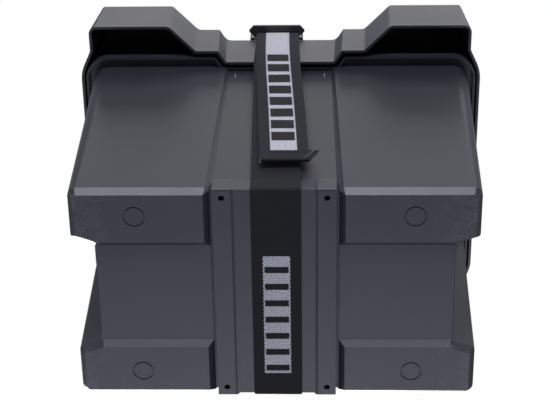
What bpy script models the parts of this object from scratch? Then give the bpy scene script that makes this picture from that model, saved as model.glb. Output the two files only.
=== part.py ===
"""Battery box: moulded tub, hooded lift-off lid and a webbing strap with a cam buckle.

Metres, +Z up, X along the length. The strap's free tail hangs on the -Y side. The origin
lies on the plane of the feet, at the centre of the box.
"""

import math

import bmesh
import bpy
from mathutils import Matrix, Vector

# Gap kept between solids that touch on the real object.
GAP = 0.0003

# How far a cutter starts below the feet, and its reach along the width and the length.
CUT_START = -0.001
CUT_HALF_WIDTH = 0.0990
CUT_HALF_LENGTH = 0.1700

# Tub.
BASE_HEIGHT = 0.228
FOOT_HALF_LENGTH = 0.1558
FOOT_HALF_WIDTH = 0.0910
END_DRAFT = 0.0082
SIDE_DRAFT = 0.0104
BASE_WALL = 0.0028
FLOOR_TOP = 0.0080
FLOOR_FILLET = 0.0040
FOOT_CHAMFER = 0.0050
FOOT_CHAMFER_INSET = 0.0042
FOOT_RELIEF = 0.0045
FOOT_INNER_EDGE = 0.0468
CORNER_RADIUS_LOW = 0.0070
CORNER_RADIUS_HIGH = 0.0140
NOTCH_DEPTH = 0.0182
NOTCH_HALF_INNER = 0.0434
NOTCH_HALF_OUTER = 0.0498
CHANNEL_DEPTH = 0.0030
CHANNEL_OUTER_LOW = 0.0524
CHANNEL_OUTER_HIGH = 0.0472
CHANNEL_INNER_LOW = 0.0472
CHANNEL_INNER_HIGH = 0.0445

# Raised slab under the tub, with a lip at each end for the strap.
SLAB_HALF = 0.0468
SLAB_GROOVE_HALF = 0.0491
SLAB_GROOVE_DEPTH = 0.0060
VALLEY_FOOT_EDGE = 0.0536
LIP_FACE = 0.0925
LIP_HEIGHT = 0.0180
LIP_ROUND = 0.0022
LIP_BACK = 0.0868
LIP_ROOT_TOP = 0.0070
LIP_ROOT_BACK = 0.0800
RECESS_DEPTH = 0.0018
RECESS_HALF = 0.0294
RECESS_HALF_MOUTH = 0.0330

# Screw holes, mould rings and snap catches.
HOLE_X = 0.0397
HOLE_Y = 0.0844
HOLE_RADIUS = 0.0024
HOLE_DEPTH = 0.0060
RING_X = 0.1060
RING_Y = 0.0690
RING_RADIUS = 0.0084
RING_LINE = 0.0009
RING_DEPTH = 0.0009
CATCH_X = 0.0386
CATCH_HALF = 0.0004
CATCH_LOW = 0.2065
CATCH_HIGH = 0.2185
CATCH_REACH = 0.0024

# Rim flange with a turned-down edge.
FLANGE_HALF_LENGTH = 0.1702
FLANGE_HALF_WIDTH = 0.1110
FLANGE_RADIUS = 0.0200
FLANGE_CHANNEL_OUTER = 0.0560
FLANGE_CHANNEL_INNER = 0.0500
FLANGE_CHANNEL_FACE = 0.1015
FLANGE_THICKNESS = 0.0032
FLANGE_DROP = 0.0090
FLANGE_EDGE = 0.0020

# Lid.
LID_BOTTOM = 0.217
LID_TOP = 0.286
LID_WALL = 0.0023
LID_HALF_LENGTH = 0.1740
LID_CORNER_START = 0.0985
LID_CORNER_RADIUS = 0.0350
LID_DRAFT = 0.0040
LID_EDGE_RADIUS = 0.0070
HOOD_FACE = 0.1403
HOOD_END = 0.1650
HOOD_INNER = 0.0955
STEP_FACE = 0.1177
STEP_INNER = 0.0534
LID_CENTRE_FACE = 0.1074
LID_CENTRE_HALF = 0.0470
RIB_BOTTOM = BASE_HEIGHT + GAP
RIB_HALF = 0.0016
RIB_PLACE = 0.0600
END_RIB = (0.1625, 0.1695)
SIDE_RIB = (0.1035, 0.1090)

# Strap.
STRAP_WIDTH = 0.0381
STRAP_THICKNESS = 0.0012
STRAP_BEND = 0.0008
STRAP_LOW_CENTRE = 0.0010
STRAP_TOP_CENTRE = -0.0035
STRAP_SPLIT = LID_BOTTOM - 0.0002

# Cam buckle.
BUCKLE_CENTRE = -0.0045
BUCKLE_WIDTH = 0.0506
CHEEK_OUTER_HALF = 0.0240
CHEEK_INNER_HALF = 0.0208
CHEEK_FRONT = -0.1052
CHEEK_REAR = -0.0690
CHEEK_BOTTOM = LID_TOP + 0.0006
CHEEK_LOW_TOP = 0.2925
CHEEK_TOP = 0.2972
PLATE_FRONT = -0.0950
PLATE_REAR = -0.0715
PLATE_THICKNESS = 0.0020
BAR_RADIUS = 0.0015
BAR_Y = -0.1020
BAR_Z = 0.2884
PIN_Y = -0.0830
PIN_Z = 0.2941
PIN_RADIUS = 0.0012
PIN_CLEARANCE = 0.0002
CAM_RADIUS = 0.0035
LEVER_TIP_Y = -0.1120
LEVER_WIDE_Y = -0.1075
LEVER_NECK_Y = -0.1010
LEVER_TIP_HALF = 0.0212
LEVER_NECK_HALF = 0.0212
LEVER_THICKNESS = 0.0024
SPRING_WIRE = 0.0003
SPRING_RADIUS = 0.0020
SPRING_LENGTH = 0.0040
SPRING_TURNS = 4


def clear_scene():
    for item in list(bpy.data.objects):
        bpy.data.objects.remove(item, do_unlink=True)


def material(name, colour, roughness, metallic=0.0):
    made = bpy.data.materials.new(name)
    made.use_nodes = True
    shader = made.node_tree.nodes["Principled BSDF"]
    shader.inputs["Base Color"].default_value = (*colour, 1.0)
    shader.inputs["Roughness"].default_value = roughness
    shader.inputs["Metallic"].default_value = metallic
    return made


def mix(low, high, part):
    return low + (high - low) * part


# Outlines: each corner is (x, y, radius, arc steps), counter-clockwise round the loop.


def four_way(quadrant):
    """A loop that mirrors one quadrant's corners in X and in Y."""
    loop = list(quadrant)
    loop += [(-x, y, r, n) for x, y, r, n in reversed(quadrant)]
    loop += [(-x, -y, r, n) for x, y, r, n in quadrant]
    loop += [(x, -y, r, n) for x, y, r, n in reversed(quadrant)]
    return loop


def directions(corners, index):
    """Unit directions of the edges that enter and leave a corner."""
    here = Vector(corners[index][:2])
    before = Vector(corners[index - 1][:2])
    after = Vector(corners[(index + 1) % len(corners)][:2])
    return (here - before).normalized(), (after - here).normalized()


def inset(corners, distance):
    """The same loop moved inwards; outside radii shrink and inside radii grow."""
    moved = []
    for index, (x, y, radius, steps) in enumerate(corners):
        entering, leaving = directions(corners, index)
        normal_in = Vector((-entering.y, entering.x))
        normal_out = Vector((-leaving.y, leaving.x))
        shift = (normal_in + normal_out) * distance / (1.0 + normal_in.dot(normal_out))
        turn = entering.x * leaving.y - entering.y * leaving.x
        radius = radius - distance if turn > 0 else radius + distance
        moved.append((x + shift.x, y + shift.y, max(radius, 0.0004), steps))
    return moved


def outline(corners, z):
    """The rounded loop as points at one height."""
    points = []
    for index, (x, y, radius, steps) in enumerate(corners):
        corner = Vector((x, y))
        entering, leaving = directions(corners, index)
        turn = math.atan2(
            entering.x * leaving.y - entering.y * leaving.x, entering.dot(leaving)
        )
        if abs(turn) < 0.001:
            spread = [corner + leaving * 0.001 * (k - steps / 2) for k in range(steps + 1)]
            points += [Vector((p.x, p.y, z)) for p in spread]
            continue
        tangent = radius * math.tan(abs(turn) / 2)
        start = corner - entering * tangent
        side = math.copysign(1.0, turn)
        centre = start + Vector((-entering.y, entering.x)) * radius * side
        for k in range(steps + 1):
            arm = Matrix.Rotation(turn * k / steps, 2) @ (start - centre)
            points.append(Vector((centre.x + arm.x, centre.y + arm.y, z)))
    return points


# Solids.


def finish_object(name, form, look, smooth_angle=0.6):
    """Turns a bmesh into an object with outward faces and smooth round stretches."""
    bmesh.ops.recalc_face_normals(form, faces=form.faces)
    mesh = bpy.data.meshes.new(name)
    form.to_mesh(mesh)
    form.free()
    mesh.shade_smooth()
    mesh.set_sharp_from_angle(angle=smooth_angle)
    made = bpy.data.objects.new(name, mesh)
    bpy.context.scene.collection.objects.link(made)
    if look:
        mesh.materials.append(look)
    return made


def loft(name, rings, look=None):
    """One closed skin through loops of equal length, capped at both ends."""
    form = bmesh.new()
    loops = [[form.verts.new(point) for point in ring] for ring in rings]
    count = len(loops[0])
    for low, high in zip(loops, loops[1:]):
        for k in range(count):
            after = (k + 1) % count
            form.faces.new((low[k], low[after], high[after], high[k]))
    form.faces.new(list(reversed(loops[0])))
    form.faces.new(loops[-1])
    return finish_object(name, form, look)


def prism(name, profile, axis, low, high, look=None):
    """A flat profile extruded along X or Y; the profile lists (other axis, z) pairs."""

    def place(a, b, along):
        return Vector((along, a, b)) if axis == "X" else Vector((a, along, b))

    ends = [[place(a, b, along) for a, b in profile] for along in (low, high)]
    return loft(name, ends, look)


def block(name, low, high, look=None):
    profile = [(low[1], low[2]), (high[1], low[2]), (high[1], high[2]), (low[1], high[2])]
    return prism(name, profile, "X", low[0], high[0], look)


def rod(name, radius, centre, axis, length, sides, look=None):
    """A round bar centred on a point, along X or Z."""
    form = bmesh.new()
    turn = Matrix.Rotation(math.pi / 2, 4, "Y") if axis == "X" else Matrix.Identity(4)
    bmesh.ops.create_cone(
        form, cap_ends=True, segments=sides, radius1=radius, radius2=radius, depth=length,
        matrix=Matrix.Translation(centre) @ turn,
    )
    return finish_object(name, form, look)


def combine(target, tools, operation):
    """Applies one exact Boolean for each tool and removes the tools."""
    for tool in tools:
        cut = target.modifiers.new(tool.name, "BOOLEAN")
        cut.operation = operation
        cut.solver = "EXACT"
        cut.object = tool
        tool.hide_render = True
        tool.display_type = "WIRE"
    graph = bpy.context.evaluated_depsgraph_get()
    result = bpy.data.meshes.new_from_object(target.evaluated_get(graph))
    target.modifiers.clear()
    target.data = result
    for tool in tools:
        bpy.data.objects.remove(tool, do_unlink=True)


def ribbon(name, stations, thickness, look):
    """A flat band through (y, z, left x, right x) stations, thick on its left-hand side."""
    form = bmesh.new()
    rows = []
    count = len(stations)
    for k, (y, z, left, right) in enumerate(stations):
        before = stations[max(k - 1, 0)]
        after = stations[min(k + 1, count - 1)]
        here = Vector((y, z))
        entering = (here - Vector(before[:2])) if k else Vector(after[:2]) - here
        leaving = Vector(after[:2]) - here if k < count - 1 else entering
        entering.normalize()
        leaving.normalize()
        side = Vector((-entering.y, entering.x)) + Vector((-leaving.y, leaving.x))
        side *= thickness / (1.0 + entering.dot(leaving))
        far = here + side
        row = [(left, y, z), (right, y, z), (right, far.x, far.y), (left, far.x, far.y)]
        rows.append([form.verts.new(point) for point in row])
    for low, high in zip(rows, rows[1:]):
        for k in range(4):
            after = (k + 1) % 4
            form.faces.new((low[k], low[after], high[after], high[k]))
    form.faces.new(list(reversed(rows[0])))
    form.faces.new(rows[-1])
    return finish_object(name, form, look, smooth_angle=0.9)


# Tub.


def tub_corners(z):
    rise = z / BASE_HEIGHT
    end = FOOT_HALF_LENGTH + END_DRAFT * rise
    side = FOOT_HALF_WIDTH + SIDE_DRAFT * rise
    corner = mix(CORNER_RADIUS_LOW, CORNER_RADIUS_HIGH, rise)
    outer = mix(CHANNEL_OUTER_LOW, CHANNEL_OUTER_HIGH, rise)
    inner = mix(CHANNEL_INNER_LOW, CHANNEL_INNER_HIGH, rise)
    return four_way([
        (end - NOTCH_DEPTH, NOTCH_HALF_INNER, 0.0030, 3),
        (end, NOTCH_HALF_OUTER, 0.0025, 3),
        (end, side, corner, 7),
        (outer, side, 0.0012, 2),
        (inner, side - CHANNEL_DEPTH, 0.0012, 2),
    ])


def flange_corners():
    return four_way([
        (FLANGE_HALF_LENGTH, NOTCH_HALF_INNER, 0.0030, 3),
        (FLANGE_HALF_LENGTH, NOTCH_HALF_OUTER, 0.0025, 3),
        (FLANGE_HALF_LENGTH, FLANGE_HALF_WIDTH, FLANGE_RADIUS, 7),
        (FLANGE_CHANNEL_OUTER, FLANGE_HALF_WIDTH, 0.0015, 2),
        (FLANGE_CHANNEL_INNER, FLANGE_CHANNEL_FACE, 0.0015, 2),
    ])


def tub_rings():
    """Outside from the feet up, over the flange and down the inside to the floor."""
    under = BASE_HEIGHT - FLANGE_THICKNESS
    flange = flange_corners()
    fillet_top = FLOOR_TOP + FLOOR_FILLET
    return [
        outline(inset(tub_corners(FOOT_CHAMFER), FOOT_CHAMFER_INSET), 0.0),
        outline(tub_corners(FOOT_CHAMFER), FOOT_CHAMFER),
        outline(tub_corners(under), under),
        outline(inset(flange, FLANGE_EDGE), under),
        outline(inset(flange, FLANGE_EDGE), BASE_HEIGHT - FLANGE_DROP),
        outline(flange, BASE_HEIGHT - FLANGE_DROP),
        outline(flange, BASE_HEIGHT - 0.0008),
        outline(inset(flange, 0.0008), BASE_HEIGHT),
        outline(inset(tub_corners(BASE_HEIGHT), BASE_WALL), BASE_HEIGHT),
        outline(inset(tub_corners(fillet_top), BASE_WALL), fillet_top),
        outline(inset(tub_corners(FLOOR_TOP), BASE_WALL + FLOOR_FILLET), FLOOR_TOP),
    ]


def lip_profile(side):
    """Rounded lip section; it roots in the floor and in the wall of the channel."""
    points = []
    for centre_z, start in ((LIP_ROUND, -90.0), (LIP_HEIGHT - LIP_ROUND, 0.0)):
        for k in range(5):
            angle = math.radians(start + 90.0 * k / 4)
            y = LIP_FACE - LIP_ROUND + LIP_ROUND * math.cos(angle)
            points.append((y, centre_z + LIP_ROUND * math.sin(angle)))
    points += [
        (LIP_BACK, LIP_HEIGHT), (LIP_BACK, LIP_ROOT_TOP),
        (LIP_ROOT_BACK, LIP_ROOT_TOP), (LIP_ROOT_BACK, 0.0),
    ]
    return [(y * side, z) for y, z in points]


def foot_cutters():
    """Relief between the feet, the sloped valleys beside the slab and the strap recess."""
    inner = FOOT_INNER_EDGE - FOOT_RELIEF
    below = CUT_START
    relief = [
        (-FOOT_INNER_EDGE + below, below), (FOOT_INNER_EDGE - below, below),
        (inner, FOOT_RELIEF), (-inner, FOOT_RELIEF),
    ]
    cutters = []
    for side in (-1, 1):
        start = side * (SLAB_HALF + 0.0012)
        cutters.append(prism(f"relief{side}", relief, "X", start, side * CUT_HALF_LENGTH))
        valley = [
            (SLAB_HALF, below), (VALLEY_FOOT_EDGE - below, below),
            (SLAB_GROOVE_HALF, FOOT_RELIEF), (SLAB_GROOVE_HALF, SLAB_GROOVE_DEPTH),
            (SLAB_HALF, SLAB_GROOVE_DEPTH),
        ]
        valley = [(x * side, z) for x, z in valley]
        cutters.append(prism(f"valley{side}", valley, "Y", -CUT_HALF_WIDTH, CUT_HALF_WIDTH))
    return cutters


def strap_recess_cutters():
    below = CUT_START
    slope = (RECESS_HALF_MOUTH - RECESS_HALF) / RECESS_DEPTH
    mouth = RECESS_HALF_MOUTH - below * slope
    floor = [
        (-mouth, below), (mouth, below),
        (RECESS_HALF, RECESS_DEPTH), (-RECESS_HALF, RECESS_DEPTH),
    ]
    cutters = [prism("recess", floor, "Y", -CUT_HALF_WIDTH, CUT_HALF_WIDTH)]
    for side in (-1, 1):
        back = side * (LIP_FACE - RECESS_DEPTH)
        front = side * (LIP_FACE - below)
        rings = [
            [Vector((-mouth, front, z)), Vector((mouth, front, z)),
             Vector((RECESS_HALF, back, z)), Vector((-RECESS_HALF, back, z))]
            for z in (below, LIP_HEIGHT + 0.002)
        ]
        cutters.append(loft(f"lip_recess{side}", rings))
    return cutters


def ring_cutter(name, x, y):
    """A thin round groove for a mould mark on a foot."""
    form = bmesh.new()
    sides = 28
    loops = []
    for radius in (RING_RADIUS - RING_LINE, RING_RADIUS):
        for z in (CUT_START, RING_DEPTH):
            loops.append([
                form.verts.new((
                    x + radius * math.cos(math.tau * k / sides),
                    y + radius * math.sin(math.tau * k / sides), z,
                ))
                for k in range(sides)
            ])
    inner_low, inner_high, outer_low, outer_high = loops
    for first, second in (
        (inner_low, inner_high), (inner_high, outer_high),
        (outer_high, outer_low), (outer_low, inner_low),
    ):
        for k in range(sides):
            after = (k + 1) % sides
            form.faces.new((first[k], first[after], second[after], second[k]))
    return finish_object(name, form, None)


def catch_ribs():
    """Thin upright ribs under the rim that guide the lid's centre face."""
    wall = FOOT_HALF_WIDTH + SIDE_DRAFT * CATCH_LOW / BASE_HEIGHT - CHANNEL_DEPTH
    root = wall - BASE_WALL / 2
    crest = wall + CATCH_REACH
    ribs = []
    for x in (-CATCH_X, CATCH_X):
        for side in (-1, 1):
            section = [
                (side * root, CATCH_LOW), (side * wall, CATCH_LOW),
                (side * crest, CATCH_LOW + CATCH_REACH), (side * crest, CATCH_HIGH),
                (side * root, CATCH_HIGH),
            ]
            name = f"catch{len(ribs)}"
            ribs.append(prism(name, section, "X", x - CATCH_HALF, x + CATCH_HALF))
    return ribs


def build_base(look):
    base = loft("base", tub_rings(), look)
    lips = [
        prism(f"lip{side}", lip_profile(side), "X", -SLAB_HALF, SLAB_HALF)
        for side in (-1, 1)
    ]
    combine(base, lips + catch_ribs(), "UNION")
    cutters = foot_cutters() + strap_recess_cutters()
    for x in (-1, 1):
        for y in (-1, 1):
            centre = (x * HOLE_X, y * HOLE_Y, HOLE_DEPTH / 2 + CUT_START)
            depth = HOLE_DEPTH - 2 * CUT_START
            cutters.append(rod(f"hole{x}{y}", HOLE_RADIUS, centre, "Z", depth, 16))
            cutters.append(ring_cutter(f"ring{x}{y}", x * RING_X, y * RING_Y))
    combine(base, cutters, "DIFFERENCE")
    return base


# Lid.


def lid_corners():
    hood_rise = HOOD_FACE - STEP_FACE
    return four_way([
        (LID_HALF_LENGTH, LID_CORNER_START, LID_CORNER_RADIUS, 6),
        (HOOD_END, STEP_FACE, 0.0040, 3),
        (HOOD_END, HOOD_FACE, 0.0065, 5),
        (HOOD_INNER, HOOD_FACE, 0.0080, 4),
        (HOOD_INNER - hood_rise, STEP_FACE, 0.0030, 3),
        (STEP_INNER, STEP_FACE, 0.0025, 3),
        (LID_CENTRE_HALF, LID_CENTRE_FACE, 0.0025, 2),
    ])


def lid_skin(wall):
    """Rings up one skin of the lid, at a depth of wall below the outer skin."""
    corners = lid_corners()
    radius = LID_EDGE_RADIUS - wall
    shoulder = LID_TOP - LID_EDGE_RADIUS
    rings = [outline(inset(corners, wall), LID_BOTTOM)]
    for k in range(5):
        angle = math.pi / 2 * k / 4
        drawn_in = wall + LID_DRAFT + radius * (1.0 - math.cos(angle))
        rings.append(outline(inset(corners, drawn_in), shoulder + radius * math.sin(angle)))
    return rings


def build_lid(look):
    outer = lid_skin(0.0)
    inner = lid_skin(LID_WALL)
    lid = loft("lid", list(reversed(outer)) + inner, look)
    top = LID_TOP - LID_WALL / 2
    ribs = []
    for x in (-1, 1):
        for y in (-1, 1):
            for low, high in (
                ((END_RIB[0], RIB_PLACE - RIB_HALF), (END_RIB[1], RIB_PLACE + RIB_HALF)),
                ((RIB_PLACE - RIB_HALF, SIDE_RIB[0]), (RIB_PLACE + RIB_HALF, SIDE_RIB[1])),
            ):
                xs = sorted((low[0] * x, high[0] * x))
                ys = sorted((low[1] * y, high[1] * y))
                name = f"rib{len(ribs)}"
                ribs.append(block(name, (xs[0], ys[0], RIB_BOTTOM), (xs[1], ys[1], top)))
    combine(lid, ribs, "UNION")
    return lid


# Strap: every stretch is a flat band; left and right are the band's edges in X.


def strap_station(y, z, centre):
    return (y, z, centre - STRAP_WIDTH / 2, centre + STRAP_WIDTH / 2)


def strap_line(z):
    """Inner face of the taut side runs, from the lip up to the edge of the lid."""
    low = LIP_FACE - RECESS_DEPTH + GAP
    high = LID_CENTRE_FACE + GAP
    return mix(low, high, (z - LIP_HEIGHT) / (LID_BOTTOM - LIP_HEIGHT))


def build_strap_under(look):
    """Under the slab in its recess, then a small bend up each lip."""
    face = LIP_FACE - RECESS_DEPTH + GAP
    top = GAP + STRAP_THICKNESS
    stations = [(-face, LIP_HEIGHT - GAP)]
    for side, first, last in ((-1, 180.0, 270.0), (1, 270.0, 360.0)):
        for k in range(4):
            angle = math.radians(mix(first, last, k / 3))
            y = side * (face - STRAP_BEND) + STRAP_BEND * math.cos(angle)
            stations.append((y, top + STRAP_BEND + STRAP_BEND * math.sin(angle)))
    stations.append((face, LIP_HEIGHT - GAP))
    path = [strap_station(y, z, STRAP_LOW_CENTRE) for y, z in reversed(stations)]
    return ribbon("strap_under", path, STRAP_THICKNESS, look)


def build_side_run(name, side, top_centre, look):
    """Taut from a lip to just below the lid."""
    path = []
    for k in range(5):
        z = mix(LIP_HEIGHT, STRAP_SPLIT, k / 4)
        centre = mix(STRAP_LOW_CENTRE, top_centre, k / 4)
        path.append(strap_station(side * strap_line(z), z, centre))
    if side > 0:
        path.reverse()
    return ribbon(name, path, STRAP_THICKNESS, look)


def lid_face_points(outside):
    """Section of the lid's centre face from its lower edge to the flat top."""
    shoulder = LID_TOP - LID_EDGE_RADIUS
    points = [(LID_CENTRE_FACE + outside, LID_BOTTOM + GAP / 2)]
    reach = LID_EDGE_RADIUS + outside
    for k in range(6):
        angle = math.pi / 2 * k / 5
        y = LID_CENTRE_FACE - LID_DRAFT - LID_EDGE_RADIUS + reach * math.cos(angle)
        points.append((y, shoulder + reach * math.sin(angle)))
    return points


def build_strap_lid_front(look):
    """From the lid's lower edge up its face and once round the front bar of the buckle."""
    reach = BAR_RADIUS + GAP
    points = [(-y, z) for y, z in lid_face_points(GAP)[:2]]
    for k in range(9):
        angle = math.radians(mix(200.0, -20.0, k / 8))
        points.append((BAR_Y + reach * math.cos(angle), BAR_Z + reach * math.sin(angle)))
    points.append((BAR_Y + reach + 0.0002, BAR_Z - 0.0030))
    path = [strap_station(y, z, STRAP_TOP_CENTRE) for y, z in points]
    return ribbon("strap_lid_front", path, STRAP_THICKNESS, look)


def build_strap_over_lid(look):
    """Up the back of the lid, along its top and on to the plate of the buckle."""
    points = lid_face_points(GAP)
    plate_top = CHEEK_BOTTOM + PLATE_THICKNESS + GAP
    points.append((PLATE_REAR + 0.0060, LID_TOP + GAP))
    points.append((PLATE_REAR + 0.0010, plate_top))
    points.append((PLATE_FRONT + 0.0040, plate_top))
    path = []
    for y, z in points:
        centre = STRAP_LOW_CENTRE if y > 0 else STRAP_TOP_CENTRE
        path.append(strap_station(y, z, centre))
    return ribbon("strap_over_lid", path, -STRAP_THICKNESS, look)


def build_strap_tail(look):
    """Out of the buckle, over its front bar and down in front of the side run."""
    plate_top = CHEEK_BOTTOM + PLATE_THICKNESS + GAP
    over_bar = BAR_Z + BAR_RADIUS + STRAP_THICKNESS + 3 * GAP
    half = STRAP_WIDTH / 2
    route = [
        (PLATE_FRONT + 0.0036, plate_top, STRAP_TOP_CENTRE),
        (PLATE_FRONT + 0.0024, plate_top, STRAP_TOP_CENTRE),
        (BAR_Y + 0.0024, over_bar, STRAP_TOP_CENTRE),
        (BAR_Y - 0.0010, over_bar, STRAP_TOP_CENTRE),
        (BAR_Y - 0.0032, over_bar - 0.0012, STRAP_TOP_CENTRE),
        (BAR_Y - 0.0046, over_bar - 0.0048, STRAP_TOP_CENTRE),
        (-0.1090, 0.2600, -0.0030),
        (-0.1104, 0.2300, -0.0022),
        (-0.1093, 0.2000, -0.0010),
        (-0.1062, 0.1600, 0.0012),
        (-0.1030, 0.1150, 0.0036),
        (-0.1006, 0.0750, 0.0055),
        (-0.0992, 0.0480, 0.0066),
    ]
    path = [(y, z, centre - half, centre + half) for y, z, centre in route]
    path.append((-0.0988, 0.0380, 0.0067 - half, 0.0067 + half + 0.0030))
    path.append((-0.0986, 0.0340, 0.0067 - half, 0.0315))
    path.append((-0.0982, 0.0250, 0.0073 - half, 0.0300))
    return ribbon("strap_tail", path, -STRAP_THICKNESS, look)


# Buckle.


def cheek_profile():
    """Side view of a cheek: low under the thumb plate, high round the pin."""
    cut = 0.0016
    rise_y = PIN_Y - 0.0065
    return [
        (CHEEK_FRONT + cut, CHEEK_BOTTOM), (CHEEK_REAR - cut, CHEEK_BOTTOM),
        (CHEEK_REAR, CHEEK_BOTTOM + cut), (CHEEK_REAR, CHEEK_LOW_TOP - cut),
        (CHEEK_REAR - cut, CHEEK_LOW_TOP), (PIN_Y + 0.0065, CHEEK_LOW_TOP),
        (PIN_Y + 0.0030, CHEEK_TOP), (PIN_Y - 0.0030, CHEEK_TOP),
        (rise_y, CHEEK_LOW_TOP), (CHEEK_FRONT + cut, CHEEK_LOW_TOP),
        (CHEEK_FRONT, CHEEK_LOW_TOP - cut), (CHEEK_FRONT, CHEEK_BOTTOM + cut),
    ]


def build_buckle_frame(look):
    """Two cheeks joined by the bottom plate and the front bar."""
    sides = []
    for side in (-1, 1):
        xs = sorted((side * CHEEK_INNER_HALF, side * CHEEK_OUTER_HALF))
        low = BUCKLE_CENTRE + xs[0]
        high = BUCKLE_CENTRE + xs[1]
        sides.append(prism(f"cheek{side}", cheek_profile(), "X", low, high, look))
    frame = sides[0]
    frame.name = "buckle_frame"
    low = BUCKLE_CENTRE - CHEEK_INNER_HALF - 0.0010
    high = BUCKLE_CENTRE + CHEEK_INNER_HALF + 0.0010
    plate = block(
        "plate", (low, PLATE_FRONT, CHEEK_BOTTOM + 0.0001),
        (high, PLATE_REAR, CHEEK_BOTTOM + PLATE_THICKNESS),
    )
    bar = rod("bar", BAR_RADIUS, (BUCKLE_CENTRE, BAR_Y, BAR_Z), "X", high - low, 16)
    combine(frame, [plate, sides[1], bar], "UNION")
    bore = rod(
        "bore", PIN_RADIUS + PIN_CLEARANCE, (BUCKLE_CENTRE, PIN_Y, PIN_Z), "X",
        BUCKLE_WIDTH + 0.0100, 16,
    )
    combine(frame, [bore], "DIFFERENCE")
    return frame


def thumb_plate(z):
    """Plan of the thumb plate: pointed ends at its widest, square corners at the tip."""
    half = BUCKLE_WIDTH / 2
    right = [
        (LEVER_NECK_HALF, LEVER_NECK_Y), (half, LEVER_WIDE_Y + 0.0012), (half, LEVER_WIDE_Y),
        (LEVER_TIP_HALF, LEVER_TIP_Y),
    ]
    plan = [(-x, y) for x, y in right] + [(x, y) for x, y in reversed(right)]
    return [Vector((BUCKLE_CENTRE + x, y, z)) for x, y in plan]


def build_lever(look):
    """Toothed cam with a pointed thumb plate; the origin lies on the pin's axis."""
    left = BUCKLE_CENTRE - 0.0195
    right = BUCKLE_CENTRE + 0.0150
    steps = 16
    section = []
    for k in range(steps + 1):
        angle = math.radians(mix(95.0, -155.0, k / steps))
        reach = CAM_RADIUS
        if angle < -0.7 and k % 2:
            reach -= 0.0005
        section.append((reach * math.cos(angle), reach * math.sin(angle)))
    handle_top = LEVER_THICKNESS + 0.0006
    handle_low = handle_top - LEVER_THICKNESS
    neck = LEVER_NECK_Y - PIN_Y - 0.0020
    section += [(-0.0090, handle_low), (neck, handle_low), (neck, handle_top), (-0.0030, handle_top)]
    profile = [(PIN_Y + y, PIN_Z + z) for y, z in section]
    lever = prism("buckle_lever", profile, "X", left, right, look)
    low = PIN_Z + handle_low
    high = PIN_Z + handle_top
    thumb = loft("thumb", [thumb_plate(low), thumb_plate(high)])
    ridges = []
    for start, width in ((-0.0190, 0.0080), (-0.0095, 0.0055), (0.0040, 0.0050), (0.0105, 0.0085)):
        corner = (BUCKLE_CENTRE + start, LEVER_TIP_Y + 0.0015, high - 0.0004)
        far = (corner[0] + width, LEVER_TIP_Y + 0.0045, high + 0.0011)
        ridges.append(block(f"ridge{len(ridges)}", corner, far))
    combine(lever, [thumb] + ridges, "UNION")
    bore = rod(
        "lever_bore", PIN_RADIUS + PIN_CLEARANCE, (BUCKLE_CENTRE, PIN_Y, PIN_Z), "X", 0.060, 16
    )
    combine(lever, [bore], "DIFFERENCE")
    lever.data.transform(Matrix.Translation((-BUCKLE_CENTRE, -PIN_Y, -PIN_Z)))
    lever.location = (BUCKLE_CENTRE, PIN_Y, PIN_Z)
    return lever


def build_pin(look):
    length = 2 * CHEEK_OUTER_HALF - 0.0004
    return rod("buckle_pin", PIN_RADIUS, (BUCKLE_CENTRE, PIN_Y, PIN_Z), "X", length, 16, look)


def build_spring(look):
    """Torsion spring wound round the pin, between the cam and the right cheek."""
    curve = bpy.data.curves.new("buckle_spring", "CURVE")
    curve.dimensions = "3D"
    curve.bevel_depth = SPRING_WIRE
    curve.bevel_resolution = 1
    curve.use_fill_caps = True
    steps = 14 * SPRING_TURNS
    line = curve.splines.new("POLY")
    line.points.add(steps)
    start = BUCKLE_CENTRE + 0.0157
    for k, point in enumerate(line.points):
        turn = math.tau * SPRING_TURNS * k / steps
        x = start + SPRING_LENGTH * k / steps
        y = PIN_Y + SPRING_RADIUS * math.cos(turn)
        z = PIN_Z + SPRING_RADIUS * math.sin(turn)
        point.co = (x, y, z, 1.0)
    curve.materials.append(look)
    made = bpy.data.objects.new("buckle_spring", curve)
    bpy.context.scene.collection.objects.link(made)
    return made


def main():
    clear_scene()
    polymer = material("black_polypropylene", (0.055, 0.055, 0.060), 0.42)
    nylon = material("buckle_nylon", (0.020, 0.020, 0.022), 0.38)
    webbing = material("strap_webbing", (0.022, 0.022, 0.025), 0.80)
    steel = material("pin_steel", (0.55, 0.55, 0.56), 0.30, 1.0)
    build_base(polymer)
    build_lid(polymer)
    build_strap_under(webbing)
    build_side_run("strap_front_run", -1, STRAP_TOP_CENTRE, webbing)
    build_side_run("strap_back_run", 1, STRAP_LOW_CENTRE, webbing)
    build_strap_lid_front(webbing)
    build_strap_over_lid(webbing)
    build_strap_tail(webbing)
    build_buckle_frame(nylon)
    build_lever(nylon)
    build_pin(steel)
    build_spring(steel)


main()
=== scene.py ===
"""Looks for the battery box: moulded plastic, woven webbing, buckle, floor, light and camera."""

import math

import bmesh
import bpy
from mathutils import Matrix, Vector


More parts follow.
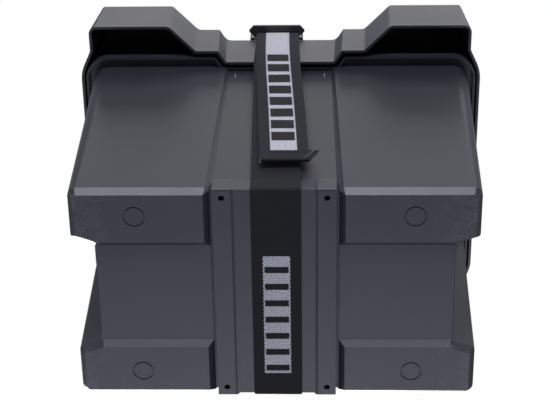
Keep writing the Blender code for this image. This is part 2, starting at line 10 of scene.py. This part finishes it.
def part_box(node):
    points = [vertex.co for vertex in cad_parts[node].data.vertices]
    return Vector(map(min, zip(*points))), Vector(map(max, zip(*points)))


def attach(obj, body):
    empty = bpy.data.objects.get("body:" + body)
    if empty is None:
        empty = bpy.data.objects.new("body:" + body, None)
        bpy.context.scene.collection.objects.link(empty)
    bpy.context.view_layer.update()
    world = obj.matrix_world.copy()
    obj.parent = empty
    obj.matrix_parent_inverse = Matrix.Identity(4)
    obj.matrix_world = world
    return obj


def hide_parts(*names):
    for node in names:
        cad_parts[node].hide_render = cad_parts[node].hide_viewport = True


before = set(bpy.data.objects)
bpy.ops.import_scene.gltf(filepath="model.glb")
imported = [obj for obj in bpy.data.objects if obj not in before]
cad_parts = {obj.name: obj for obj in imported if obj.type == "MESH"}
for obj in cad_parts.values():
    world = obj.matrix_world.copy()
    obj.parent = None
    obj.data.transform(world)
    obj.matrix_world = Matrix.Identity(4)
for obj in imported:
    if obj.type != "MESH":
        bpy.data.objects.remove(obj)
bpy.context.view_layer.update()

GAP = 0.0003
BAND_THICKNESS = 0.0012

# Webbing: pitch of its ribs and of its warp yarns, and half the grey stripe's width.
RIB_PITCH = 0.00170
YARN_PITCH = 0.00070
STRIPE_HALF = 0.0102

# Bars across the grey stripe: where they start and end, their pitch and the share that is dark.
UNDER_MARKS = (0.2718, 0.3780, 0.0148, 0.36)
TAIL_MARKS = (0.0789, 0.2419, 0.0205, 0.70)
TAIL_STRIPE = (0.0, 0.320)  # start and end of the stripe on the upper strap and the tail

# Scuffs on the feet: each pair is where they fade, by height, along X and along Y.
SCUFF_HEIGHT = (0.0006, 0.0034)
SCUFF_FROM_END = (0.118, 0.150)
SCUFF_FROM_SIDE = (0.074, 0.087)

# Two frayed yarns at the tail's end.
RIGHT_THREAD = [(0.022, -0.1022, 0.034), (0.027, -0.1040, 0.037), (0.0305, -0.1046, 0.043)]
LEFT_THREAD = [(-0.011, -0.1004, 0.034), (-0.0125, -0.1030, 0.028), (-0.010, -0.1034, 0.022)]

# Strap route: height where it turns under the lip, and where the tail's fold starts (y, z, x).
LIP_TURN = 0.0178
TAIL_FOOT = (-0.0990, 0.0330, 0.0069)

# Camera.
LENS = 98.1
VIEW_PLACE = (0.03228, -0.58986, -0.99792)
VIEW_TARGET = (-0.00247, -0.03226, 0.1000)
VIEW_ROLL = 3.0923

# Light colours, and how bright the surround is for the camera and for the object.
WARM = (1.0, 0.99, 0.98)
COOL = (0.84, 0.86, 1.0)
SHOWN_STRENGTH = 1.0
FILL_STRENGTH = 0.25


SCENE = bpy.context.scene

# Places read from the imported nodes.
LID_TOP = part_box("lid")[1].z
TOP_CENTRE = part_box("strap_lid_front")[0].x / 2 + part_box("strap_lid_front")[1].x / 2
BAR_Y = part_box("buckle_frame")[0].y + 0.0032
BAR_Z = LID_TOP + 0.0024
BAR_REACH = 0.0018


# Node helpers.


class Nodes:
    """Short names for building one material's node tree."""

    def __init__(self, name, roughness, metallic=0.0):
        self.material = bpy.data.materials.new(name)
        self.material.use_nodes = True
        self.tree = self.material.node_tree
        self.shader = self.tree.nodes["Principled BSDF"]
        self.shader.inputs["Roughness"].default_value = roughness
        self.shader.inputs["Metallic"].default_value = metallic

    def add(self, kind, **settings):
        node = self.tree.nodes.new(kind)
        for key, value in settings.items():
            setattr(node, key, value)
        return node

    def link(self, source, target):
        self.tree.links.new(source, target)

    def fill(self, socket, value):
        if isinstance(value, (int, float, tuple)):
            socket.default_value = value
        else:
            self.link(value, socket)

    def math(self, operation, first, second=0.0, third=0.0):
        node = self.add("ShaderNodeMath", operation=operation)
        for socket, value in zip(node.inputs, (first, second, third)):
            self.fill(socket, value)
        return node.outputs[0]

    def object_place(self):
        return self.add("ShaderNodeTexCoord").outputs["Object"]

    def noise(self, place, scale, detail=3.0, rough=0.55):
        node = self.add("ShaderNodeTexNoise")
        self.link(place, node.inputs["Vector"])
        node.inputs["Scale"].default_value = scale
        node.inputs["Detail"].default_value = detail
        node.inputs["Roughness"].default_value = rough
        return node.outputs["Fac"]

    def stretched(self, place, scale):
        node = self.add("ShaderNodeMapping")
        self.link(place, node.inputs["Vector"])
        node.inputs["Scale"].default_value = scale
        return node.outputs["Vector"]

    def ramp(self, value, low, high, out_low=0.0, out_high=1.0):
        node = self.add("ShaderNodeMapRange")
        node.clamp = True
        self.fill(node.inputs["Value"], value)
        node.inputs["From Min"].default_value = low
        node.inputs["From Max"].default_value = high
        node.inputs["To Min"].default_value = out_low
        node.inputs["To Max"].default_value = out_high
        return node.outputs["Result"]

    def mix_colour(self, part, first, second):
        node = self.add("ShaderNodeMix", data_type="RGBA")
        self.fill(node.inputs["Factor"], part)
        for name, value in (("A", first), ("B", second)):
            socket = next(s for s in node.inputs if s.name == name and s.type == "RGBA")
            self.fill(socket, value)
        return next(s for s in node.outputs if s.type == "RGBA")

    def bump(self, height, distance, strength=1.0, onto=None):
        node = self.add("ShaderNodeBump")
        node.inputs["Strength"].default_value = strength
        node.inputs["Distance"].default_value = distance
        self.link(height, node.inputs["Height"])
        if onto:
            self.link(onto, node.inputs["Normal"])
        return node.outputs["Normal"]


def grey(value, blue=0.0):
    return (value, value, value * (1.0 + blue), 1.0)


def polymer_material():
    """Black polypropylene: fine spark-eroded grain, dull scuffs on the feet, faint drag marks."""
    n = Nodes("black_polypropylene", 0.4)
    place = n.object_place()
    split = n.add("ShaderNodeSeparateXYZ")
    n.link(place, split.inputs[0])
    cloud = n.noise(place, 9.0, 4.0)
    grain = n.noise(place, 2600.0, 2.0, 0.6)
    drag = n.noise(n.stretched(place, (260.0, 9.0, 30.0)), 1.0, 4.0, 0.65)
    specks = n.noise(n.stretched(place, (1.0, 2.2, 1.0)), 520.0, 5.0, 0.8)
    wear_patch = n.noise(place, 55.0, 4.0, 0.7)
    low = n.ramp(split.outputs["Z"], *SCUFF_HEIGHT, 1.0, 0.0)
    near_end = n.ramp(n.math("ABSOLUTE", split.outputs["X"]), *SCUFF_FROM_END)
    near_side = n.ramp(n.math("ABSOLUTE", split.outputs["Y"]), *SCUFF_FROM_SIDE, 0.0, 0.35)
    corner = n.math("ADD", near_end, near_side)
    wear = n.math("MULTIPLY", low, n.math("MULTIPLY", n.ramp(wear_patch, 0.44, 0.62), corner))
    wear = n.math("MULTIPLY", wear, n.ramp(specks, 0.50, 0.62))
    body = n.mix_colour(n.ramp(cloud, 0.3, 0.7), grey(0.019, 0.22), grey(0.024, 0.24))
    body = n.mix_colour(n.ramp(drag, 0.64, 0.80, 0.0, 0.18), body, grey(0.060, 0.08))
    body = n.mix_colour(n.math("MULTIPLY", wear, 0.6), body, grey(0.25, 0.03))
    n.link(body, n.shader.inputs["Base Color"])
    dull = n.ramp(cloud, 0.25, 0.75, 0.36, 0.44)
    dull = n.math("ADD", dull, n.math("MULTIPLY", wear, 0.25))
    n.link(n.math("ADD", dull, n.ramp(grain, 0.3, 0.7, -0.03, 0.03)), n.shader.inputs["Roughness"])
    fine = n.bump(grain, 0.00003, 0.6)
    n.link(n.bump(drag, 0.00003, 0.35, fine), n.shader.inputs["Normal"])
    n.shader.inputs["Specular IOR Level"].default_value = 0.5
    return n.material


def nylon_material():
    n = Nodes("buckle_nylon", 0.35)
    place = n.object_place()
    grain = n.noise(place, 3200.0, 2.0)
    cloud = n.noise(place, 60.0, 3.0)
    body = n.mix_colour(n.ramp(cloud, 0.3, 0.7), grey(0.016, 0.06), grey(0.024, 0.08))
    n.link(body, n.shader.inputs["Base Color"])
    n.link(n.ramp(cloud, 0.3, 0.7, 0.30, 0.42), n.shader.inputs["Roughness"])
    n.link(n.bump(grain, 0.00003, 0.5), n.shader.inputs["Normal"])
    return n.material


def steel_material():
    n = Nodes("bright_steel", 0.28, 1.0)
    place = n.object_place()
    lines = n.noise(n.stretched(place, (300.0, 6000.0, 6000.0)), 1.0, 2.0)
    body = n.mix_colour(n.ramp(lines, 0.3, 0.7), grey(0.48), grey(0.60))
    n.link(body, n.shader.inputs["Base Color"])
    n.link(n.ramp(lines, 0.3, 0.7, 0.22, 0.38), n.shader.inputs["Roughness"])
    return n.material


def webbing_material(name, printed, marks):
    """Woven webbing in band coordinates: U across in metres, V along in metres.

    printed is the stretch of V that has the grey centre stripe. marks is the stretch of V that
    has dark bars across that stripe, with the bars' pitch and the share of it that is dark.
    """
    n = Nodes(name, 0.82)
    coordinates = n.add("ShaderNodeUVMap", uv_map="band")
    place = coordinates.outputs["UV"]
    split = n.add("ShaderNodeSeparateXYZ")
    n.link(place, split.inputs[0])
    across = split.outputs["X"]
    along = split.outputs["Y"]
    row = n.math("SINE", n.math("MULTIPLY", along, math.tau / RIB_PITCH))
    end = n.math("SINE", n.math("MULTIPLY", across, math.tau / YARN_PITCH))
    fuzz = n.noise(place, 3000.0, 3.0, 0.7)
    cloth = n.math("ADD", n.math("MULTIPLY", row, 0.8), n.math("MULTIPLY", end, 0.3))
    cloth = n.math("ADD", cloth, n.math("MULTIPLY", fuzz, 1.2))
    wide = n.math("ABSOLUTE", across)
    ragged = n.math("SINE", n.math("MULTIPLY", along, math.tau / (2 * RIB_PITCH)))
    edge = n.math("ADD", wide, n.math("MULTIPLY", ragged, 0.0003))
    shown = n.ramp(edge, STRIPE_HALF, STRIPE_HALF + 0.0003, 1.0, 0.0)
    shown = n.math("MULTIPLY", shown, stretch(n, along, *printed))
    inner = n.ramp(edge, STRIPE_HALF - 0.0011, STRIPE_HALF - 0.0008, 1.0, 0.0)
    low, high, pitch, share = marks
    phase = n.math("FRACT", n.math("DIVIDE", along, pitch))
    bar = n.ramp(phase, share, share + 0.03, 1.0, 0.0)
    bar = n.math("MULTIPLY", bar, inner)
    bar = n.math("MULTIPLY", bar, stretch(n, along, low, high))
    shown = n.math("MULTIPLY", shown, n.math("SUBTRACT", 1.0, bar))
    # Painted shade: the black is darker in the grooves between the ribs and lighter on their crests,
    # following the bump's rib phase, and this is multiplied by a random fuzz tone.
    ribs = n.ramp(row, -1.0, 1.0, 0.40, 1.0)
    groove_shade_and_fuzz = n.math("MULTIPLY", ribs, n.ramp(fuzz, 0.3, 0.7))
    black = n.mix_colour(groove_shade_and_fuzz, grey(0.006, 0.12), grey(0.017, 0.16))
    yarn = n.noise(n.stretched(place, (1.0, 1.6, 1.0)), 620.0, 4.0, 0.75)
    silver = n.mix_colour(n.ramp(yarn, 0.36, 0.64), grey(0.19, 0.05), grey(0.56, 0.05))
    n.link(n.mix_colour(shown, black, silver), n.shader.inputs["Base Color"])
    n.link(n.bump(cloth, 0.00012, 0.9), n.shader.inputs["Normal"])
    n.link(n.ramp(fuzz, 0.3, 0.7, 0.76, 0.92), n.shader.inputs["Roughness"])
    n.shader.inputs["Specular IOR Level"].default_value = 0.25
    n.shader.inputs["Sheen Weight"].default_value = 0.03
    n.shader.inputs["Sheen Roughness"].default_value = 0.45
    return n.material


def stretch(n, along, low, high):
    """1 between two places along the webbing and 0 outside them."""
    after = n.ramp(along, low, low + 0.0004)
    return n.math("MULTIPLY", after, n.ramp(along, high - 0.0004, high, 1.0, 0.0))


# Mouldings.


def put(name, mesh, body, look, slot, *replaced):
    """Links a piece, gives it its material and says what it rides on and stands for."""
    mesh.materials.clear()
    mesh.materials.append(look)
    piece = bpy.data.objects.new(name, mesh)
    SCENE.collection.objects.link(piece)
    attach(piece, body)
    if replaced:
        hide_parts(*replaced)
    return piece


def applied(mesh, modifiers):
    """The mesh after its modifiers, so that nothing is left to evaluate."""
    holder = bpy.data.objects.new("holder", mesh)
    SCENE.collection.objects.link(holder)
    for kind, settings in modifiers:
        made = holder.modifiers.new(kind.lower(), kind)
        for key, value in settings.items():
            setattr(made, key, value)
    graph = bpy.context.evaluated_depsgraph_get()
    result = bpy.data.meshes.new_from_object(holder.evaluated_get(graph))
    bpy.data.objects.remove(holder, do_unlink=True)
    return result


def rounded_moulding(node, body, look, slot, radius, steps=2):
    """A CAD node's own shape with the small edge radius that a mould leaves."""
    form = bmesh.new()
    form.from_mesh(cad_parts[node].data)
    bmesh.ops.remove_doubles(form, verts=form.verts, dist=0.00002)
    flat = math.radians(0.5)
    bmesh.ops.dissolve_limit(form, angle_limit=flat, verts=form.verts, edges=form.edges)
    mesh = bpy.data.meshes.new(node + "_shape")
    form.to_mesh(mesh)
    form.free()
    mesh.shade_smooth()
    bevel = {
        "width": radius, "segments": steps, "limit_method": "ANGLE",
        "angle_limit": math.radians(27.0), "harden_normals": True, "miter_outer": "MITER_ARC",
    }
    mesh = applied(mesh, [("BEVEL", bevel), ("WEIGHTED_NORMAL", {"keep_sharp": True})])
    return put(node + "_moulding", mesh, body, look, slot, node)


# Webbing.


def filleted(points, steps=5):
    """An open path of (y, z, x, radius) points as a smooth line of (y, z, x) points."""
    line = [Vector(points[0][:3])]
    for before, here, after in zip(points, points[1:], points[2:]):
        corner = Vector(here[:3])
        back = Vector(before[:3]) - corner
        ahead = Vector(after[:3]) - corner
        turn = math.pi - back.angle(ahead)
        reach = here[3] * math.tan(turn / 2)
        reach = min(reach, back.length * 0.49, ahead.length * 0.49)
        first = corner + back.normalized() * reach
        last = corner + ahead.normalized() * reach
        for k in range(steps + 1):
            t = k / steps
            line.append(first * (1 - t) ** 2 + corner * (2 * t * (1 - t)) + last * t * t)
    line.append(Vector(points[-1][:3]))
    return line


def spaced(line, step):
    """The same line with no stretch longer than step."""
    points = [line[0]]
    for start, end in zip(line, line[1:]):
        parts = max(1, math.ceil((end - start).length / step))
        points += [start.lerp(end, k / parts) for k in range(1, parts + 1)]
    return [p for k, p in enumerate(points) if k == 0 or (p - points[k - 1]).length > 1e-6]


def webbing(name, line, width, outward, body, look, replaced, start_along=0.0, square=True):
    """A woven band along its inner face line; outward is +1 when its outer face is to the left.

    The section thins towards its two edges. square keeps each row across at right angles to
    the line. Map coordinates are metres across and along the band.
    """
    columns = 20
    thickness = BAND_THICKNESS
    form = bmesh.new()
    band = form.loops.layers.uv.new("band")
    rows = []
    along = start_along
    for k, here in enumerate(line):
        before = line[max(k - 1, 0)]
        after = line[min(k + 1, len(line) - 1)]
        along += (here - before).length
        run = Vector((after.x - before.x, after.y - before.y)).normalized()
        side = Vector((-run.y, run.x)) * outward
        lean = Vector((after.z - before.z, (after - before).length))
        row = []
        for face in (0, 1):
            for c in range(columns + 1):
                part = c / columns * 2.0 - 1.0
                u = part * width / 2
                rolled = min(1.0, (1.0 - abs(part)) / 0.035)
                half = thickness / 2 * (0.45 + 0.55 * math.sqrt(rolled))
                swell = 0.00006 * math.sin(along * 410.0 + part * 3.0)
                offset = thickness / 2 + (half + swell if face else -half)
                slip = -u * lean.x / lean.y if square else 0.0
                y = here.x + side.x * offset + run.x * slip
                z = here.y + side.y * offset + run.y * slip
                row.append((form.verts.new((here.z + u, y, z)), u, along + slip))
        rows.append(row)
    count = columns + 1
    for low, high in zip(rows, rows[1:]):
        quads = []
        for c in range(columns):
            quads.append((low[c], low[c + 1], high[c + 1], high[c]))
            quads.append((low[count + c], high[count + c], high[count + c + 1], low[count + c + 1]))
        quads.append((low[0], high[0], high[count], low[count]))
        quads.append((low[columns], low[count + columns], high[count + columns], high[columns]))
        for quad in quads:
            made = form.faces.new([corner[0] for corner in quad])
            for loop, corner in zip(made.loops, quad):
                loop[band].uv = (corner[1], corner[2])
    for row, order in ((rows[0], 1), (rows[-1], -1)):
        for c in range(columns):
            quad = (row[c], row[count + c], row[count + c + 1], row[c + 1])[::order]
            made = form.faces.new([corner[0] for corner in quad])
            for loop, corner in zip(made.loops, quad):
                loop[band].uv = (corner[1], corner[2])
    bmesh.ops.recalc_face_normals(form, faces=form.faces)
    mesh = bpy.data.meshes.new(name)
    form.to_mesh(mesh)
    form.free()
    mesh.shade_smooth()
    mesh.set_sharp_from_angle(angle=1.2)
    return put(name, mesh, body, look, "webbing", *replaced)


def strap_sizes():
    """Places that the straps pass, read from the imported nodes."""
    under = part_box("strap_under")
    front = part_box("strap_front_run")
    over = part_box("strap_over_lid")
    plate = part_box("buckle_frame")
    return {
        "width": under[1].x - under[0].x,
        "low_centre": (under[0].x + under[1].x) / 2,
        "low_face": -under[0].y - BAND_THICKNESS,
        "under_top": under[0].z + BAND_THICKNESS,
        "split": front[1].z,
        "high_face": -front[0].y - BAND_THICKNESS,
        "lid_low": over[0].z,
        "frame_low": plate[0].z,
    }


def lower_strap(place, look):
    """Under the slab and taut up both sides to the lid."""
    low = place["low_face"]
    high = place["high_face"]
    top = place["under_top"]
    split = place["split"]
    centre = place["low_centre"]
    bend = 0.0009
    line = filleted([
        (-high, split, TOP_CENTRE, 0.0), (-low, LIP_TURN, centre, 0.004),
        (-low, top, centre, bend), (low, top, centre, bend),
        (low, LIP_TURN, centre, 0.004), (high, split, centre, 0.0),
    ])
    return webbing(
        "strap_lower", spaced(line, 0.0020), place["width"], -1, "base_body", look,
        ("strap_under", "strap_front_run", "strap_back_run"),
    )


def sewn_end(place, look):
    """Up the lid's face and round the buckle's front bar, then sewn back on itself."""
    points = [
        Vector((-0.10772, place["lid_low"] + 0.0002, TOP_CENTRE)),
        Vector((-0.1038, LID_TOP - 0.0068, TOP_CENTRE)),
    ]
    for k in range(13):
        angle = math.radians(196.0 - 216.0 * k / 12)
        y = BAR_Y + BAR_REACH * math.cos(angle)
        points.append(Vector((y, BAR_Z + BAR_REACH * math.sin(angle), TOP_CENTRE)))
    points.append(Vector((BAR_Y + BAR_REACH + 0.0002, BAR_Z - 0.0028, TOP_CENTRE)))
    return webbing(
        "strap_sewn_end", spaced(points, 0.0020), place["width"], 1, "lid_body", look,
        ("strap_lid_front",),
    )


def upper_strap(place, look):
    """Up the back of the lid and along its top to the buckle; the tail goes on from there."""
    shoulder = LID_TOP - 0.0070
    plate_top = place["frame_low"] + 0.0023
    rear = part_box("buckle_frame")[1].y - 0.0025
    centre = place["low_centre"]
    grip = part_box("strap_over_lid")[0].y
    line = filleted([
        (0.10772, place["lid_low"] + 0.0002, centre, 0.0), (0.10370, shoulder, centre, 0.003),
        (0.10340, LID_TOP + GAP, centre, 0.0066),
        (rear + 0.0070, LID_TOP + GAP, TOP_CENTRE, 0.002),
        (rear + 0.0015, plate_top, TOP_CENTRE, 0.002),
        (grip, plate_top, TOP_CENTRE, 0.0),
    ], 7)
    webbing(
        "strap_over_lid_band", spaced(line, 0.0020), place["width"], -1, "lid_body", look,
        ("strap_over_lid",),
    )
    over_bar = BAR_Z + 0.0015 + BAND_THICKNESS + 3 * GAP
    route = [
        (grip - 0.0004, plate_top, TOP_CENTRE, 0.0), (grip - 0.0016, plate_top, TOP_CENTRE, 0.001),
        (BAR_Y + 0.0024, over_bar, TOP_CENTRE, 0.002), (BAR_Y - 0.0026, over_bar, TOP_CENTRE, 0.003),
        (BAR_Y - 0.0046, over_bar - 0.0046, TOP_CENTRE, 0.003),
        (-0.1090, 0.2600, -0.0030, 0.05), (-0.1106, 0.2300, -0.0022, 0.06),
        (-0.1095, 0.2000, -0.0010, 0.20), (-0.1030, 0.1150, 0.0036, 0.30),
        (-0.0994, 0.0480, 0.0066, 0.05), (TAIL_FOOT[0], TAIL_FOOT[1] + GAP, TAIL_FOOT[2], 0.0),
    ]
    line = filleted(route, 6)
    webbing(
        "strap_tail_band", spaced(line, 0.0016), place["width"], -1, "lid_body", look,
        ("strap_tail",),
    )


def tail_fold(place, look):
    """The tail's last stretch, turned up over its own face and skewed to the tail's right."""
    y, z, x = TAIL_FOOT
    radius = 0.0016
    line = []
    for k in range(9):
        angle = math.pi * k / 8
        turned = y - radius + radius * math.cos(angle)
        line.append(Vector((turned, z - radius * math.sin(angle), x + 0.0003 * k)))
    front = y - 2 * radius
    line.append(Vector((front - 0.0003, z + 0.0060, x + 0.0052)))
    line.append(Vector((front - 0.0012, z + 0.0115, x + 0.0078)))
    return webbing(
        "strap_tail_fold", spaced(line, 0.0012), place["width"], -1, "lid_body", look, (),
        start_along=0.40, square=False,
    )


def loose_thread(name, points, look):
    """One frayed yarn as a fine tube."""
    curve = bpy.data.curves.new(name, "CURVE")
    curve.dimensions = "3D"
    curve.bevel_depth = 0.00014
    curve.bevel_resolution = 2
    curve.use_fill_caps = True
    spline = curve.splines.new("NURBS")
    spline.points.add(len(points) - 1)
    for target, point in zip(spline.points, points):
        target.co = (*point, 1.0)
    spline.use_endpoint_u = True
    spline.order_u = 3
    curve.materials.append(look)
    thread = bpy.data.objects.new(name, curve)
    SCENE.collection.objects.link(thread)
    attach(thread, "lid_body")
    return thread


def yarn_material():
    n = Nodes("loose_yarn", 0.7)
    place = n.object_place()
    body = n.mix_colour(n.ramp(n.noise(place, 900.0), 0.3, 0.7), grey(0.12), grey(0.30))
    n.link(body, n.shader.inputs["Base Color"])
    return n.material


# Floor, light and camera.


def pale_floor():
    """A pale sheet that shows only its upper side, so the box can also be seen from below."""
    form = bmesh.new()
    bmesh.ops.create_grid(form, x_segments=1, y_segments=1, size=3.0)
    mesh = bpy.data.meshes.new("floor")
    form.to_mesh(mesh)
    form.free()
    floor = bpy.data.objects.new("floor", mesh)
    floor.location.z = -0.0008
    SCENE.collection.objects.link(floor)
    floor.visible_shadow = False
    floor.visible_glossy = False
    floor.visible_diffuse = False
    n = Nodes("pale_floor", 0.9)
    n.shader.inputs["Base Color"].default_value = (0.86, 0.86, 0.86, 1.0)
    clear = n.add("ShaderNodeBsdfTransparent")
    side = n.add("ShaderNodeNewGeometry").outputs["Backfacing"]
    blend = n.add("ShaderNodeMixShader")
    n.link(side, blend.inputs[0])
    n.link(n.shader.outputs[0], blend.inputs[1])
    n.link(clear.outputs[0], blend.inputs[2])
    output = next(x for x in n.tree.nodes if x.type == "OUTPUT_MATERIAL")
    n.link(blend.outputs[0], output.inputs["Surface"])
    mesh.materials.append(n.material)


def soft_light(name, place, target, size, watts, colour):
    data = bpy.data.lights.new(name, "AREA")
    data.color = colour
    data.shape = "RECTANGLE"
    data.size = size[0]
    data.size_y = size[1]
    data.energy = watts
    light = bpy.data.objects.new(name, data)
    SCENE.collection.objects.link(light)
    light.location = place
    aim = Vector(target) - Vector(place)
    light.rotation_euler = aim.to_track_quat("-Z", "Y").to_euler()


def studio():
    """White surround for the background, with a dimmer fill on the object than it shows."""
    SCENE.view_settings.view_transform = "Standard"
    world = bpy.data.worlds.new("studio")
    SCENE.world = world
    world.use_nodes = True
    tree = world.node_tree
    shown = tree.nodes["Background"]
    shown.inputs["Color"].default_value = (1.0, 1.0, 1.0, 1.0)
    shown.inputs["Strength"].default_value = SHOWN_STRENGTH
    fill = tree.nodes.new("ShaderNodeBackground")
    fill.inputs["Color"].default_value = (0.80, 0.85, 1.0, 1.0)
    fill.inputs["Strength"].default_value = FILL_STRENGTH
    path = tree.nodes.new("ShaderNodeLightPath")
    blend = tree.nodes.new("ShaderNodeMixShader")
    tree.links.new(path.outputs["Is Camera Ray"], blend.inputs[0])
    tree.links.new(fill.outputs[0], blend.inputs[1])
    tree.links.new(shown.outputs[0], blend.inputs[2])
    output = next(x for x in tree.nodes if x.type == "OUTPUT_WORLD")
    tree.links.new(blend.outputs[0], output.inputs["Surface"])
    middle = (0.0, 0.0, 0.14)
    soft_light("key", (0.20, -1.5, 0.95), middle, (1.8, 0.9), 10.0, WARM)
    soft_light("overhead", (0.08, -0.55, 1.9), (0.0, -0.12, 0.25), (1.6, 0.9), 4.6, WARM)
    soft_light("front", (0.0, -1.9, -0.55), (0.0, 0.0, 0.0), (1.8, 0.5), 40.0, COOL)
    soft_light("under", (0.0, 1.3, -1.3), (0.0, 0.0, 0.0), (1.8, 0.8), 15.0, COOL)
    soft_light("back", (-0.5, 1.6, 1.1), middle, (1.6, 1.0), 40.0, WARM)
    for side in (-1, 1):
        soft_light(f"end{side}", (side * 1.7, -0.2, 0.9), middle, (1.0, 0.8), 9.0, WARM)


def view_camera():
    """Below and in front of the box, a little to its right."""
    data = bpy.data.cameras.new("view")
    data.sensor_width = 36.0
    data.lens = LENS
    camera = bpy.data.objects.new("view", data)
    SCENE.collection.objects.link(camera)
    camera.location = VIEW_PLACE
    facing = (Vector(VIEW_TARGET) - camera.location).to_track_quat("-Z", "Y")
    roll = Matrix.Rotation(math.radians(VIEW_ROLL), 4, "Z")
    camera.matrix_world = Matrix.Translation(camera.location) @ facing.to_matrix().to_4x4() @ roll
    SCENE.camera = camera


def main():
    polymer = polymer_material()
    nylon = nylon_material()
    steel = steel_material()
    reverse = webbing_material("webbing_reverse", UNDER_MARKS[:2], UNDER_MARKS)
    printed = webbing_material("webbing_printed", TAIL_STRIPE, TAIL_MARKS)
    rounded_moulding("base", "base_body", polymer, "polymer", 0.0005)
    rounded_moulding("lid", "lid_body", polymer, "polymer", 0.0005)
    rounded_moulding("buckle_frame", "lid_body", nylon, "buckle", 0.0003)
    rounded_moulding("buckle_lever", "lever_body", nylon, "buckle", 0.0003)
    for node in ("buckle_pin", "buckle_spring"):
        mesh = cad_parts[node].data
        mesh.materials.clear()
        mesh.materials.append(steel)
    place = strap_sizes()
    lower_strap(place, reverse)
    sewn_end(place, reverse)
    upper_strap(place, printed)
    tail_fold(place, reverse)
    yarn = yarn_material()
    loose_thread("thread_right", RIGHT_THREAD, yarn)
    loose_thread("thread_left", LEFT_THREAD, yarn)
    pale_floor()
    studio()
    view_camera()


main()
